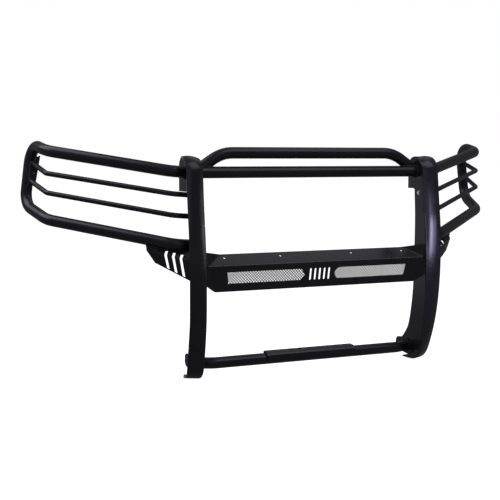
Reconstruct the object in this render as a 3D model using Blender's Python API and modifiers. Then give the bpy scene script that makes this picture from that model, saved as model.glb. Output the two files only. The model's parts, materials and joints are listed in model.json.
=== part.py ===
"""Front grille guard for a full-size pickup truck, in metres, +Z up.

Two pressed uprights carry a cross tube with a hoop over it, a lamp housing with two mesh
windows, and a lower tube with a step saddle. A wing of one bent tube and two rods sweeps
back from each upright to guard the headlamps. +X is across the vehicle, -Y is the front.
The origin is on the centre plane, below the middle of the guard's depth, level with the
lowest point of the uprights.

Every place below is measured from the axis of the upper cross tube on the centre plane,
and place() moves it to the part's origin. Left and right pieces share one description:
SIDES gives each side's name and the sign of its X.
"""

import math

import bmesh
import bpy
from mathutils import Matrix, Vector

# Overall placing: where the axis of the cross tube is, from the part's origin.
CROSS_Y = -0.1652
CROSS_Z = 0.6826

GAP = 0.0003
SIDES = (("left", -1), ("right", 1))

# Tubes and rods.
TUBE_RADIUS = 0.01905
TUBE_WALL = 0.0024
ROD_RADIUS = 0.00855
BEND_STEP = math.radians(18)

# Uprights: a crowned front band that folds sharply into an inner side plate.
INNER_X = 0.4045
FOLD_RADIUS = 0.004
UPRIGHT_SHEET = 0.004
BAND_CROWN = 0.0045
BAND_COLUMNS = 5
ARCH_CENTRE = (0.0, -0.003)
ARCH_RADII = (0.054, 0.050)
ARCH_END = math.radians(172)
ARCH_OUTER_X = 0.463
# The band's outer edge (X, Y, Z) below the arch: it bows forward, narrows and runs back.
BAND_OUTER = (
    (0.4635, -0.066, -0.105),
    (0.4635, -0.077, -0.190),
    (0.4630, -0.082, -0.295),
    (0.4625, -0.079, -0.390),
    (0.4605, -0.070, -0.475),
    (0.4590, -0.052, -0.552),
    (0.4550, -0.0235, -0.633),
    (0.4500, 0.001, -0.6645),
    (0.4455, 0.028, -0.6735),
    (0.4400, 0.060, -0.6785),
    (0.4270, 0.093, -0.6795),
)
# The band's fold (Y, Z) at the same levels.
BAND_FOLD = (
    (-0.0585, -0.105),
    (-0.0695, -0.190),
    (-0.0795, -0.295),
    (-0.0810, -0.390),
    (-0.0780, -0.475),
    (-0.0660, -0.556),
    (-0.0490, -0.632),
    (-0.0315, -0.6585),
    (-0.0070, -0.6705),
    (0.0280, -0.6750),
    (0.0660, -0.6765),
)
# The side plate's rear edge, from the ear at its top down to its tab.
PLATE_EAR_Y = 0.022
PLATE_EAR_Z = (0.034, -0.056)
PLATE_REAR = (
    (0.0030, -0.063),
    (-0.0030, -0.150),
    (-0.0032, -0.250),
    (0.0010, -0.400),
    (0.0140, -0.492),
    (0.0305, -0.552),
    (0.0545, -0.586),
    (0.0750, -0.606),
)
PLATE_TAB = (
    (0.096, -0.611),
    (0.098, -0.640),
    (0.074, -0.657),
    (0.030, -0.661),
    (0.052, -0.671),
)
PLATE_HOLE = (-0.064, -0.166)
PLATE_HOLE_RADIUS = 0.0035

# Mounting bracket against the outer face of each side plate's foot.
BRACKET_SHEET = 0.006
BRACKET = (
    (-0.028, -0.580),
    (0.030, -0.580),
    (0.066, -0.604),
    (0.110, -0.6095),
    (0.120, -0.618),
    (0.122, -0.640),
    (0.113, -0.651),
    (0.084, -0.657),
    (0.036, -0.657),
    (0.000, -0.650),
    (-0.020, -0.638),
)
BRACKET_HOLES = ((0.108, -0.635), (0.085, -0.641))
BRACKET_HOLE_RADIUS = 0.0055

# Stiffener plate across each upright's open top, which the tubes are welded to.
STIFFENER_X = 0.437
STIFFENER_SHEET = 0.005
STIFFENER_REAR_Y = 0.094
STIFFENER_TOP_Z = 0.0518
STIFFENER_BOTTOM_Z = -0.062
STIFFENER_SHOULDER = 0.038
STIFFENER_INSIDE = 0.0055

# Bolt through each side plate, below the stiffener.
BOLT_YZ = (-0.027, -0.075)
BOLT_RADIUS = 0.004
BOLT_HEAD_RADIUS = 0.0065
BOLT_HEAD_HEIGHT = 0.0045
BOLT_GRIP = 0.012

# Hoop over the cross tube, set back a little.
HOOP_Y = 0.012
HOOP_RISE = 0.063
HOOP_SHOULDER_X = 0.3195
HOOP_FOOT = (0.420, -0.0034)
HOOP_BEND = 0.125

# Lower tube and the step saddle over it.
LOWER_YZ = (0.012, -0.6275)
LOWER_END_Y = 0.034
LOWER_BEND_X = 0.352
LOWER_BEND = 0.070
SADDLE_HALF = 0.166
SADDLE_SHEET = 0.003
SADDLE_SECTION = (
    (0.0255, -0.6108),
    (0.0255, -0.6022),
    (0.0030, -0.6037),
    (-0.0064, -0.6072),
    (-0.0110, -0.6140),
    (-0.0110, -0.6320),
)
SADDLE_HOLES = 9
SADDLE_HOLE_PITCH = 0.0345
SADDLE_HOLE = (0.013, 0.008)
SADDLE_HOLE_Y = 0.0145

# Plate on the inner face of each foot, which the lower tube is welded to.
FOOT_PLATE_SHEET = 0.004
FOOT_PLATE = (
    (0.094, -0.631),
    (0.080, -0.628),
    (0.056, -0.618),
    (0.032, -0.608),
    (0.012, -0.608),
    (-0.004, -0.622),
    (-0.008, -0.642),
    (0.008, -0.654),
    (0.050, -0.656),
    (0.074, -0.654),
    (0.092, -0.645),
)

# Lamp housing: a sloping top flange and a front face that leans in towards its foot.
HOUSING_SHEET = 0.003
CREASE = (0.398, -0.073, -0.296)
FACE_FOOT = (0.369, -0.055, -0.383)
FLANGE_KINK = (0.340, -0.019, -0.2642)
CHEEK_TOP = (0.4040, -0.0640, -0.2515)
CHEEK_FOOT = (0.4040, -0.0735, -0.3590)
FLANGE_HOLES_X = (0.330, 0.132)
FLANGE_HOLE_RADIUS = 0.0042
FLANGE_PIN_HOLE_X = 0.033
FLANGE_PIN_HOLE_RADIUS = 0.0020
FLANGE_HOLE_SHARE = 0.68

# Windows in the housing's face. U runs across it, and V up it, from the crease.
WINDOW_TOP = -0.0235
WINDOW_FOOT = -0.0625
WINDOW_TIP_U = 0.054
WINDOW_INNER_U = 0.068
WINDOW_OUTER_U = (0.331, 0.325)
SLOT_COUNT = 5
SLOT_PITCH = 0.017
SLOT_WIDTH = 0.007
SLOT_SPAN = (-0.026, -0.060)

# Mesh panel behind each window, and the screws that hold it.
MESH_SHEET = 0.0015
MESH_MARGIN = 0.010
MESH_OUTER_U = 0.364
MESH_PITCH = 0.0279
MESH_STRAND = 0.0034
SCREW_UV = ((0.356, -0.0115), (0.3555, -0.0705))
SCREW_RADIUS = 0.0025
SCREW_HEAD_RADIUS = 0.0048
SCREW_HEAD_HEIGHT = 0.0024
NUT_RADIUS = 0.0050
NUT_HEIGHT = 0.0040

# Wings. Each member leaves the upright level, turns back at the knee and again at the bend.
KNEE_X = 0.492
TOP_KNEE = (0.025, 0.005)
TOP_BEND = (0.843, 0.255, 0.0705)
LOOP_TOP = (0.865, 0.397, 0.096)
LOOP_FOOT = (0.892, 0.397, -0.111)
FOOT_KNEE = (-0.017, -0.2275)
FOOT_BEND = (0.846, 0.247, -0.155)
KNEE_RADIUS = 0.090
BEND_RADIUS = 0.040
LOOP_RADIUS = 0.062
# For each rod: knee (Y, Z), bend, and where it meets the loop.
RODS = (
    ("upper", (-0.004, -0.067), (0.844, 0.2526, -0.0035), (0.8640, 0.3680, 0.0270)),
    ("lower", (-0.009, -0.135), (0.843, 0.2495, -0.0675), (0.8750, 0.3680, -0.0315)),
)
ROD_KNEE_RADIUS = 0.060
ROD_BEND_RADIUS = 0.022
STUB_FALL = 0.08
STUB_SQUARE = 0.004

# Strip at the front of each loop's end: its outline as (distance from the loop's axis, Z).
ROD_PLATE_SHEET = 0.003
ROD_PLATE_REAR_Y = 0.3744
ROD_PLATE = (
    (-0.0300, 0.054),
    (-0.0240, 0.054),
    (-0.0200, 0.036),
    (-0.0010, 0.036),
    (-0.0010, -0.046),
    (-0.0240, -0.046),
)
ROD_PLATE_HOLE = (-0.0125, -0.005)
ROD_PLATE_HOLE_RADIUS = 0.0035

# Gusset under each wing. U runs out along the wing from the upright, V is height.
GUSSET_SHEET = 0.003
GUSSET_START_X = 0.4415
GUSSET_START_Y = -0.0735
GUSSET_SLOPE = 0.74
# Its corners as (U, Z, how far back of the fold's plane).
GUSSET_FOOT = ((0.0, -0.352, 0.010), (0.136, -0.2865, 0.004))
GUSSET_FOLD = ((0.0, -0.2805, 0.0), (0.1635, -0.2465, 0.0))
GUSSET_TOP = (
    (0.022, -0.2475, 0.030),
    (0.060, -0.2500, 0.022),
    (0.097, -0.2465, 0.014),
    (0.1665, -0.2305, 0.006),
)
GUSSET_SLOTS_U = (0.0408, 0.0663, 0.0918)
GUSSET_SLOT_WIDTH = 0.009
GUSSET_SLOT_LEAN = 0.0075
GUSSET_SLOT_RISE = 0.011
GUSSET_SLOT_FOOT = 0.004

COLLECTION = "front_grille_guard"


# ---------------------------------------------------------------- scene and materials


def clear_scene():
    for obj in list(bpy.data.objects):
        bpy.data.objects.remove(obj, do_unlink=True)


def new_collection(name):
    collection = bpy.data.collections.new(name)
    bpy.context.scene.collection.children.link(collection)
    return collection


def new_material(name, colour, roughness, metallic):
    material = bpy.data.materials.new(name)
    material.use_nodes = True
    shader = material.node_tree.nodes["Principled BSDF"]
    shader.inputs["Base Color"].default_value = (*colour, 1)
    shader.inputs["Roughness"].default_value = roughness
    shader.inputs["Metallic"].default_value = metallic
    return material


clear_scene()
PARTS = new_collection(COLLECTION)
CUTTERS = new_collection("cutters")
POWDER_COAT = new_material("black_powder_coat", (0.012, 0.012, 0.014), 0.42, 0.0)
SHEET_COAT = new_material("black_sheet_coat", (0.016, 0.016, 0.018), 0.48, 0.0)
BLACK_ZINC = new_material("black_zinc", (0.045, 0.042, 0.038), 0.35, 0.9)
BRIGHT_ZINC = new_material("bright_zinc", (0.62, 0.63, 0.65), 0.30, 1.0)


# ---------------------------------------------------------------- making objects


def place(x, y, z):
    """A point given from the cross tube's axis, in the part's own frame."""
    return Vector((x, y + CROSS_Y, z + CROSS_Z))


def side_point(sign, x, y, z):
    return place(sign * x, y, z)


def add(name, data, material=None, collection=PARTS):
    obj = bpy.data.objects.new(name, data)
    collection.objects.link(obj)
    if material is not None:
        data.materials.append(material)
    return obj


def smooth(mesh):
    mesh.shade_smooth()
    mesh.set_sharp_from_angle(angle=math.radians(32))


def surface(name, points, faces, thickness, material):
    """An open sheet through the points, thickened behind the faces' normals."""
    mesh = bpy.data.meshes.new(name)
    mesh.from_pydata(points, [], faces)
    mesh.validate()
    smooth(mesh)
    obj = add(name, mesh, material)
    solidify = obj.modifiers.new("Sheet", "SOLIDIFY")
    solidify.thickness = thickness
    solidify.offset = -1
    solidify.use_even_offset = True
    solidify.use_quality_normals = True
    return obj


def tube_curve(name, points, radius, capped):
    data = bpy.data.curves.new(name, "CURVE")
    data.dimensions = "3D"
    data.bevel_depth = radius
    data.bevel_resolution = 4
    data.use_fill_caps = capped
    spline = data.splines.new("POLY")
    spline.points.add(len(points) - 1)
    for control, point in zip(spline.points, points):
        control.co = (*point, 1)
    return data


def tube(name, points, radius, wall=None, material=POWDER_COAT):
    """A bent tube along the points, or a solid rod where no wall is given."""
    obj = add(name, tube_curve(name, points, radius, wall is None), material)
    if wall is not None:
        solidify = obj.modifiers.new("Wall", "SOLIDIFY")
        solidify.thickness = wall
        solidify.offset = -1
        solidify.use_even_offset = True
    return obj


def as_mesh(obj):
    """Replaces a curve object by a mesh object of the same name, place and material."""
    bpy.context.view_layer.update()
    graph = bpy.context.evaluated_depsgraph_get()
    mesh = bpy.data.meshes.new_from_object(obj.evaluated_get(graph))
    shape = bmesh.new()
    shape.from_mesh(mesh)
    bmesh.ops.remove_doubles(shape, verts=shape.verts, dist=1e-6)
    bmesh.ops.recalc_face_normals(shape, faces=shape.faces)
    shape.to_mesh(mesh)
    shape.free()
    smooth(mesh)
    name = obj.name
    matrix = obj.matrix_world.copy()
    collection = obj.users_collection[0]
    bpy.data.objects.remove(obj, do_unlink=True)
    made = bpy.data.objects.new(name, mesh)
    collection.objects.link(made)
    made.matrix_world = matrix
    return made


def flat_curve(name, outlines, thickness):
    """A flat plate from closed outlines; every outline after the first is a hole."""
    data = bpy.data.curves.new(name, "CURVE")
    data.dimensions = "2D"
    data.fill_mode = "BOTH"
    data.extrude = thickness / 2
    for outline in outlines:
        spline = data.splines.new("POLY")
        spline.points.add(len(outline) - 1)
        for control, (u, v) in zip(spline.points, outline):
            control.co = (u, v, 0, 1)
        spline.use_cyclic_u = True
    return data


def yz_plate(name, outlines, middle_x, thickness, material):
    """A plate standing across X: the outlines are (Y, Z) from the cross tube's axis."""
    obj = add(name, flat_curve(name, outlines, thickness), material)
    obj.location = place(middle_x, 0, 0)
    obj.rotation_euler = (math.radians(90), 0, math.radians(90))
    return obj


def cutter(mesh_maker, name):
    mesh = bpy.data.meshes.new(name)
    shape = bmesh.new()
    mesh_maker(shape)
    bmesh.ops.recalc_face_normals(shape, faces=shape.faces)
    shape.to_mesh(mesh)
    shape.free()
    obj = add(name, mesh, None, CUTTERS)
    obj.hide_render = True
    obj.display_type = "WIRE"
    return obj


def cylinder_into(shape, radius, length, matrix, segments=16):
    bmesh.ops.create_cone(
        shape,
        cap_ends=True,
        segments=segments,
        radius1=radius,
        radius2=radius,
        depth=length,
        matrix=matrix,
    )


def prism_into(shape, outline, depth, matrix):
    """A closed prism over a (U, V) outline, centred on the outline's plane."""
    near = [shape.verts.new(matrix @ Vector((u, v, -depth / 2))) for u, v in outline]
    far = [shape.verts.new(matrix @ Vector((u, v, depth / 2))) for u, v in outline]
    shape.faces.new(near)
    shape.faces.new(reversed(far))
    for i in range(len(outline)):
        j = (i + 1) % len(outline)
        shape.faces.new((near[j], near[i], far[i], far[j]))


def cut(obj, tool):
    modifier = obj.modifiers.new("Cut", "BOOLEAN")
    modifier.operation = "DIFFERENCE"
    modifier.solver = "EXACT"
    modifier.object = tool


# ---------------------------------------------------------------- paths and outlines


def rounded_path(corners, radii):
    """The polyline through the corners, with each inner corner rounded to its radius."""
    path = [corners[0]]
    for before, corner, after, radius in zip(corners, corners[1:], corners[2:], radii):
        back = (before - corner).normalized()
        ahead = (after - corner).normalized()
        half = back.angle(ahead) / 2
        if radius == 0:
            path.append(corner)
            continue
        reach = radius / math.tan(half)
        centre = corner + (back + ahead).normalized() * (radius / math.sin(half))
        start = corner + back * reach - centre
        bend = math.pi - 2 * half
        steps = math.ceil(bend / BEND_STEP)
        turn = Matrix.Rotation(bend / steps, 4, back.cross(start).normalized())
        for _ in range(steps + 1):
            path.append(centre + start)
            start = turn @ start
    path.append(corners[-1])
    return path


def spline_through(points, steps):
    """A smooth (Catmull-Rom) line through 2-D points, with steps pieces a span."""
    ends = [2 * Vector(points[0]) - Vector(points[1])]
    ends += [Vector(point) for point in points]
    ends.append(2 * Vector(points[-1]) - Vector(points[-2]))
    line = []
    for a, b, c, d in zip(ends, ends[1:], ends[2:], ends[3:]):
        for step in range(steps):
            t = step / steps
            line.append(
                0.5
                * (
                    2 * b
                    + (c - a) * t
                    + (2 * a - 5 * b + 4 * c - d) * t**2
                    + (3 * b - a - 3 * c + d) * t**3
                )
            )
    line.append(ends[-2])
    return line


def arc(centre, radius, start, end, steps):
    """Points on an arc, angles in radians from the first axis."""
    turn = (end - start) / steps
    return [
        Vector(
            (
                centre[0] + radius * math.cos(start + turn * i),
                centre[1] + radius * math.sin(start + turn * i),
            )
        )
        for i in range(steps + 1)
    ]


def slot_outline(start, end, width, steps=4):
    """A round-ended slot between two (U, V) centres."""
    start = Vector(start)
    end = Vector(end)
    along = end - start
    heading = math.atan2(along.y, along.x)
    quarter = math.pi / 2
    outline = arc(end, width / 2, heading - quarter, heading + quarter, steps)
    outline += arc(start, width / 2, heading + quarter, heading + 3 * quarter, steps)
    return outline


# ---------------------------------------------------------------- uprights


def arch(radius, steps=7):
    return arc(ARCH_CENTRE, radius, math.pi / 2, ARCH_END, steps)


def band_lines():
    """The band's outer edge and its fold, as (X, Y, Z) rows from the arch to the foot."""
    top = [(ARCH_OUTER_X, y, z) for y, z in arch(ARCH_RADII[0])]
    outer = top[:-1] + spline_through([top[-1], *BAND_OUTER], 2)
    top = [(INNER_X + FOLD_RADIUS, y, z) for y, z in arch(ARCH_RADII[1])]
    folds = [(INNER_X + FOLD_RADIUS, y, z) for y, z in BAND_FOLD]
    fold = top[:-1] + spline_through([top[-1], *folds], 2)
    return [Vector(point) for point in outer], [Vector(point) for point in fold]


def normals_of(line):
    """Normals of a line in its (Y, Z) plane, pointing out of the front."""
    found = []
    for i in range(len(line)):
        along = line[min(i + 1, len(line) - 1)] - line[max(i - 1, 0)]
        found.append(Vector((0, along.z, -along.y)).normalized())
    return found


def band_row(outer, fold, normal):
    """One row across the upright: crowned band, then the fold round to the side plate."""
    row = []
    for column in range(BAND_COLUMNS + 1):
        share = column / BAND_COLUMNS
        crown = BAND_CROWN * 4 * share * (1 - share)
        row.append(outer.lerp(fold, share) + normal * crown)
    for angle in (math.radians(45), math.radians(90)):
        across = Vector((-FOLD_RADIUS * math.sin(angle), 0, 0))
        row.append(fold + across - normal * FOLD_RADIUS * (1 - math.cos(angle)))
    return row


def plate_rear_edge():
    """The side plate's free edge as (Y, Z), from the band's foot up to its top."""
    edge = [Vector(point) for point in reversed(PLATE_TAB)]
    edge += list(reversed(spline_through(PLATE_REAR, 2)))
    edge += [Vector((PLATE_EAR_Y, z)) for z in reversed(PLATE_EAR_Z)]
    return edge


def upright(side, sign):
    """Band, fold and side plate in one pressed sheet."""
    outer, fold = band_lines()
    points = []
    for row in map(band_row, outer, fold, normals_of(fold)):
        points += [side_point(sign, *point) for point in row]
    rows = len(outer)
    width = len(points) // rows
    faces = []
    for row in range(rows - 1):
        for column in range(width - 1):
            a = row * width + column
            quad = (a, a + width, a + width + 1, a + 1)
            faces.append(quad if sign < 0 else tuple(reversed(quad)))
    plate = [row * width + width - 1 for row in range(rows)]
    rear = plate_rear_edge()
    plate += range(len(points), len(points) + len(rear))
    points += [side_point(sign, INNER_X, y, z) for y, z in rear]
    faces.append(plate if sign < 0 else tuple(reversed(plate)))
    obj = surface(f"upright_{side}", points, faces, UPRIGHT_SHEET, POWDER_COAT)

    def holes(shape):
        turn = Matrix.Rotation(math.pi / 2, 4, "Y")
        for (y, z), radius in (
            (PLATE_HOLE, PLATE_HOLE_RADIUS),
            (BOLT_YZ, BOLT_RADIUS + GAP),
        ):
            centre = side_point(sign, INNER_X, y, z)
            cylinder_into(shape, radius, 0.012, Matrix.Translation(centre) @ turn)

    cut(obj, cutter(holes, f"upright_holes_{side}"))


def mount_bracket(side, sign):
    """Plate behind the upright's foot whose lobe bolts to the vehicle's frame."""
    middle = INNER_X + UPRIGHT_SHEET + GAP + BRACKET_SHEET / 2
    outline = [Vector(point) for point in BRACKET]
    holes = [
        arc(centre, BRACKET_HOLE_RADIUS, 0, 2 * math.pi * 11 / 12, 11)
        for centre in BRACKET_HOLES
    ]
    yz_plate(
        f"mount_bracket_{side}",
        [outline, *holes],
        sign * middle,
        BRACKET_SHEET,
        POWDER_COAT,
    )


def stiffener(side, sign):
    """The plate inside the arch that closes the upright's top."""
    inner = ARCH_RADII[1] - STIFFENER_INSIDE
    top = STIFFENER_TOP_Z
    shoulder = (STIFFENER_REAR_Y - STIFFENER_SHOULDER, top - STIFFENER_SHOULDER)
    outline = arc(shoulder, STIFFENER_SHOULDER, 0, math.pi / 2, 6)
    outline.append(Vector((STIFFENER_INSIDE, top)))
    outline.append(Vector((STIFFENER_INSIDE, ARCH_CENTRE[1] + inner)))
    outline += arc(ARCH_CENTRE, inner, math.pi / 2, ARCH_END, 8)
    outline.append(Vector((-inner, STIFFENER_BOTTOM_Z)))
    outline.append(Vector((STIFFENER_REAR_Y, STIFFENER_BOTTOM_Z)))
    yz_plate(
        f"stiffener_{side}", [outline], sign * STIFFENER_X, STIFFENER_SHEET, POWDER_COAT
    )


def side_bolt(side, sign):
    """A hex bolt through the side plate, and its nut on the hidden side."""
    turn = Matrix.Rotation(math.pi / 2, 4, "Y")
    y, z = BOLT_YZ
    head_x = INNER_X - GAP - BOLT_HEAD_HEIGHT / 2
    shank_start = head_x + BOLT_HEAD_HEIGHT / 4
    nut_x = INNER_X + UPRIGHT_SHEET + GAP + NUT_HEIGHT / 2

    def head(shape):
        where = Matrix.Translation(side_point(sign, head_x, y, z)) @ turn
        cylinder_into(shape, BOLT_HEAD_RADIUS, BOLT_HEAD_HEIGHT, where, 12)

    def shank(shape):
        middle = shank_start + BOLT_GRIP / 2
        where = Matrix.Translation(side_point(sign, middle, y, z)) @ turn
        cylinder_into(shape, BOLT_RADIUS, BOLT_GRIP, where, 12)

    bolt = solid(f"side_bolt_{side}", head, BRIGHT_ZINC)
    join(bolt, cutter(shank, f"side_bolt_shank_{side}"))
    where = Matrix.Translation(side_point(sign, nut_x, y, z)) @ turn
    nut(f"side_bolt_nut_{side}", where, BOLT_RADIUS, BOLT_HEAD_RADIUS)


def solid(name, mesh_maker, material):
    mesh = bpy.data.meshes.new(name)
    shape = bmesh.new()
    mesh_maker(shape)
    bmesh.ops.recalc_face_normals(shape, faces=shape.faces)
    shape.to_mesh(mesh)
    shape.free()
    smooth(mesh)
    return add(name, mesh, material)


def join(obj, tool):
    modifier = obj.modifiers.new("Join", "BOOLEAN")
    modifier.operation = "UNION"
    modifier.solver = "EXACT"
    modifier.object = tool


def nut(name, where, bore, radius):
    """A hexagonal nut on the shank of a bolt or screw."""
    obj = solid(
        name, lambda shape: cylinder_into(shape, radius, NUT_HEIGHT, where, 6), BLACK_ZINC
    )
    cut(
        obj,
        cutter(
            lambda shape: cylinder_into(shape, bore + GAP, 3 * NUT_HEIGHT, where, 12),
            f"{name}_bore",
        ),
    )


# ---------------------------------------------------------------- tubes


def cross_tube():
    end = INNER_X - GAP
    tube("cross_tube", [place(-end, 0, 0), place(end, 0, 0)], TUBE_RADIUS, TUBE_WALL)


def trim_ends(obj, half, z):
    """Cuts a tube off square at both sides, at this distance from the centre plane."""

    def beyond(shape):
        for sign in (-1, 1):
            middle = place(sign * (half + 0.1), 0, z)
            bmesh.ops.create_cube(shape, size=0.2, matrix=Matrix.Translation(middle))

    cut(obj, cutter(beyond, f"{obj.name}_ends"))


def hoop():
    """The raised tube, coped at its feet to sit on the cross tube at the side plates."""
    foot_x, foot_z = HOOP_FOOT
    corners = [
        place(-foot_x, HOOP_Y, foot_z),
        place(-HOOP_SHOULDER_X, HOOP_Y, HOOP_RISE),
        place(HOOP_SHOULDER_X, HOOP_Y, HOOP_RISE),
        place(foot_x, HOOP_Y, foot_z),
    ]
    path = rounded_path(corners, (HOOP_BEND, HOOP_BEND))
    obj = as_mesh(tube("top_hoop", path, TUBE_RADIUS, TUBE_WALL))

    def tube_below(shape):
        turn = Matrix.Rotation(math.pi / 2, 4, "Y")
        where = Matrix.Translation(place(0, 0, 0)) @ turn
        cylinder_into(shape, TUBE_RADIUS + GAP, 1.2, where, 12)

    cut(obj, cutter(tube_below, "hoop_cope"))
    trim_ends(obj, INNER_X - GAP, HOOP_FOOT[1])


def lower_tube():
    y, z = LOWER_YZ
    end = INNER_X - FOOT_PLATE_SHEET - 2 * GAP
    corners = [
        place(-end, LOWER_END_Y, z),
        place(-LOWER_BEND_X, y, z),
        place(LOWER_BEND_X, y, z),
        place(end, LOWER_END_Y, z),
    ]
    for foot, shoulder in ((0, 1), (3, 2)):
        corners[foot] += (corners[foot] - corners[shoulder]) * 0.35
    path = rounded_path(corners, (LOWER_BEND, LOWER_BEND))
    obj = as_mesh(tube("lower_tube", path, TUBE_RADIUS, TUBE_WALL))
    trim_ends(obj, end, z)


def foot_plate(side, sign):
    middle = sign * (INNER_X - GAP - FOOT_PLATE_SHEET / 2)
    outline = [Vector(point) for point in FOOT_PLATE]
    yz_plate(
        f"foot_plate_{side}", [outline], middle, FOOT_PLATE_SHEET, POWDER_COAT
    )


def step_saddle():
    """A channel folded over the lower tube, with a row of drain holes along its top."""
    points = []
    for x in (-SADDLE_HALF, SADDLE_HALF):
        points += [place(x, y, z) for y, z in SADDLE_SECTION]
    count = len(SADDLE_SECTION)
    faces = [(i, i + 1, i + 1 + count, i + count) for i in range(count - 1)]
    obj = surface("step_saddle", points, faces, SADDLE_SHEET, SHEET_COAT)

    def holes(shape):
        length, width = SADDLE_HOLE
        reach = (length - width) / 2
        for i in range(SADDLE_HOLES):
            x = (i - (SADDLE_HOLES - 1) / 2) * SADDLE_HOLE_PITCH
            outline = slot_outline((x - reach, 0), (x + reach, 0), width)
            where = Matrix.Translation(place(0, SADDLE_HOLE_Y, SADDLE_SECTION[1][1]))
            prism_into(shape, outline, 0.010, where)

    cut(obj, cutter(holes, "saddle_holes"))


# ---------------------------------------------------------------- lamp housing


def face_frame():
    """The housing's face: origin on the crease, U across, V up it, W out of it."""
    top = place(0, *CREASE[1:])
    up = (top - place(0, *FACE_FOOT[1:])).normalized()
    across = Vector((1, 0, 0))
    frame = Matrix((across, up, across.cross(up))).transposed().to_4x4()
    return Matrix.Translation(top) @ frame


def flange_frame():
    """The top flange: origin on the crease, U across, V up it, W out of it."""
    front = place(0, *CREASE[1:])
    up = (place(0, *FLANGE_KINK[1:]) - front).normalized()
    across = Vector((1, 0, 0))
    frame = Matrix((across, up, across.cross(up))).transposed().to_4x4()
    return Matrix.Translation(front) @ frame


def window_outline(grow=0.0, outer_u=WINDOW_OUTER_U):
    """The right window: blunt point at its inner end, slanting outer end."""
    middle = (WINDOW_TOP + WINDOW_FOOT) / 2
    return [
        (WINDOW_INNER_U - grow / 2, WINDOW_TOP + grow),
        (outer_u[0] + grow, WINDOW_TOP + grow),
        (outer_u[1] + grow, WINDOW_FOOT - grow),
        (WINDOW_INNER_U - grow / 2, WINDOW_FOOT - grow),
        (WINDOW_TIP_U - grow, middle),
    ]


def lamp_housing():
    keys = (CREASE, FACE_FOOT, CHEEK_FOOT, CHEEK_TOP, FLANGE_KINK)
    points = [side_point(sign, *key) for sign in (1, -1) for key in keys]
    crease, foot, cheek_foot, cheek_top, kink = range(5)
    left = 5
    faces = [
        (crease, crease + left, foot + left, foot),
        (crease, kink, kink + left, crease + left),
    ]
    for triangle in (
        (crease, foot, cheek_foot),
        (crease, cheek_foot, cheek_top),
        (crease, cheek_top, kink),
    ):
        faces.append(triangle)
        faces.append([corner + left for corner in reversed(triangle)])
    obj = surface("lamp_housing", points, faces, HOUSING_SHEET, SHEET_COAT)
    face = face_frame()
    flange = flange_frame()
    flip = Matrix.Scale(-1, 4, (1, 0, 0))

    def windows(shape):
        prism_into(shape, window_outline(), 0.030, face)
        prism_into(shape, window_outline(), 0.030, flip @ face)

    def slots(shape):
        for i in range(SLOT_COUNT):
            u = (i - (SLOT_COUNT - 1) / 2) * SLOT_PITCH
            ends = [(u, v) for v in SLOT_SPAN]
            prism_into(shape, slot_outline(*ends, SLOT_WIDTH), 0.030, face)

    def holes(shape):
        up = FLANGE_HOLE_SHARE * (place(*FLANGE_KINK) - place(*CREASE)).yz.length
        sizes = [(x, FLANGE_HOLE_RADIUS) for x in FLANGE_HOLES_X]
        sizes.append((FLANGE_PIN_HOLE_X, FLANGE_PIN_HOLE_RADIUS))
        for sign in (-1, 1):
            for x, radius in sizes:
                where = flange @ Matrix.Translation((sign * x, up, 0))
                cylinder_into(shape, radius, 0.020, where, 12)
            for u, v in SCREW_UV:
                where = face @ Matrix.Translation((sign * u, v, 0))
                cylinder_into(shape, SCREW_RADIUS + GAP, 0.020, where, 12)

    cut(obj, cutter(windows, "housing_windows"))
    cut(obj, cutter(slots, "housing_slots"))
    cut(obj, cutter(holes, "housing_holes"))


def mesh_openings(foot_v, top_v, inner_u, outer_u):
    """Diamond openings on a staggered grid, as (U, V) outlines."""
    reach = (MESH_PITCH - MESH_STRAND * math.sqrt(2)) / 2
    openings = []
    rows = round((top_v - foot_v) / (MESH_PITCH / 2))
    for row in range(rows + 1):
        v = foot_v + row * MESH_PITCH / 2
        shift = (row % 2) * MESH_PITCH / 2
        columns = int((outer_u - inner_u) / MESH_PITCH)
        for column in range(columns + 1):
            u = inner_u + shift + column * MESH_PITCH
            if u + reach > outer_u:
                continue
            openings.append(
                [(u + reach, v), (u, v + reach), (u - reach, v), (u, v - reach)]
            )
    return openings


def mesh_panel(side, sign):
    """Expanded-metal panel behind a window, screwed to the face at its outer end."""
    outer = (MESH_OUTER_U, MESH_OUTER_U)
    outline = window_outline(MESH_MARGIN, (outer[0] - MESH_MARGIN, outer[1] - MESH_MARGIN))
    middle = (WINDOW_TOP + WINDOW_FOOT) / 2
    inner_u = WINDOW_INNER_U + MESH_PITCH / 2
    openings = mesh_openings(
        middle - MESH_PITCH / 2, middle + MESH_PITCH / 2, inner_u, MESH_OUTER_U - 0.026
    )
    ear_u = MESH_OUTER_U - 2.4 * MESH_MARGIN
    ear_top = SCREW_UV[0][1] + MESH_MARGIN / 2
    ear_foot = SCREW_UV[1][1] - MESH_MARGIN / 2
    outline[1:3] = [
        (ear_u, ear_top),
        (MESH_OUTER_U, ear_top),
        (MESH_OUTER_U, ear_foot),
        (ear_u, ear_foot),
    ]
    holes = [
        arc((u, v), SCREW_RADIUS + GAP, 0, 2 * math.pi * 11 / 12, 11) for u, v in SCREW_UV
    ]
    plates = [outline, *openings, *holes]
    flipped = [[(sign * u, v) for u, v in plate] for plate in plates]
    name = f"mesh_panel_{side}"
    obj = add(name, flat_curve(name, flipped, MESH_SHEET), SHEET_COAT)
    behind = HOUSING_SHEET + GAP + MESH_SHEET / 2
    obj.matrix_world = face_frame() @ Matrix.Translation((0, 0, -behind))


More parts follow.
